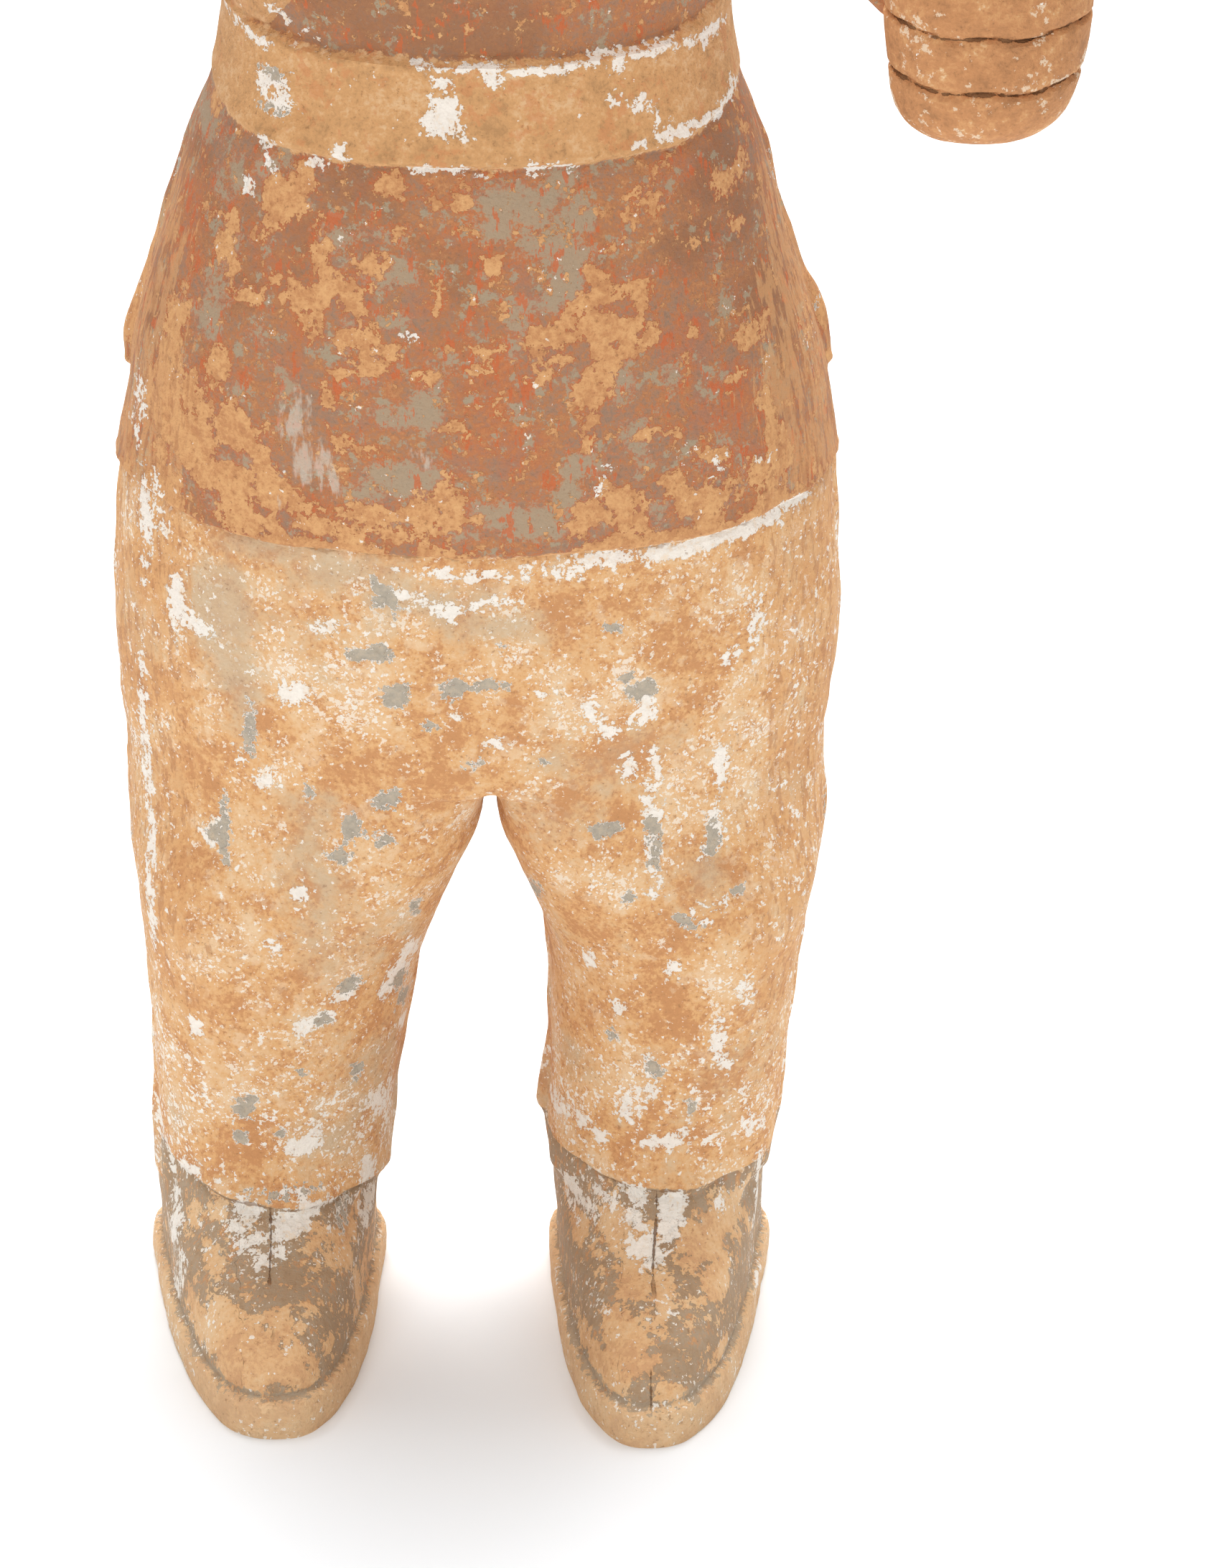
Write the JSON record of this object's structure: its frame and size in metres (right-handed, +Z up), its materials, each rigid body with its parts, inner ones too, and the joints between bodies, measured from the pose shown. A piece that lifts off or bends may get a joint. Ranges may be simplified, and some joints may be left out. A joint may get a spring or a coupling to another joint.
{
  "type": "pottery warrior figure",
  "caption": "Standing moulded pottery warrior in a belted tunic, wide trousers and round-toed boots, with both arms bent and the fists closed.",
  "frame": {"origin": "on the ground under the soles, at the middle of the figure's outline seen from above", "axes": "+Z up, the figure faces -Y, +X is the figure's left"},
  "size_m": [0.3012, 0.1994, 0.6805],
  "materials": {
    "pottery": "matte, worn paint and white slip over grey clay with orange burial earth"
  },
  "bodies": {
    "root": {"warrior_figure": "pottery"}
  },
  "joints": []
}
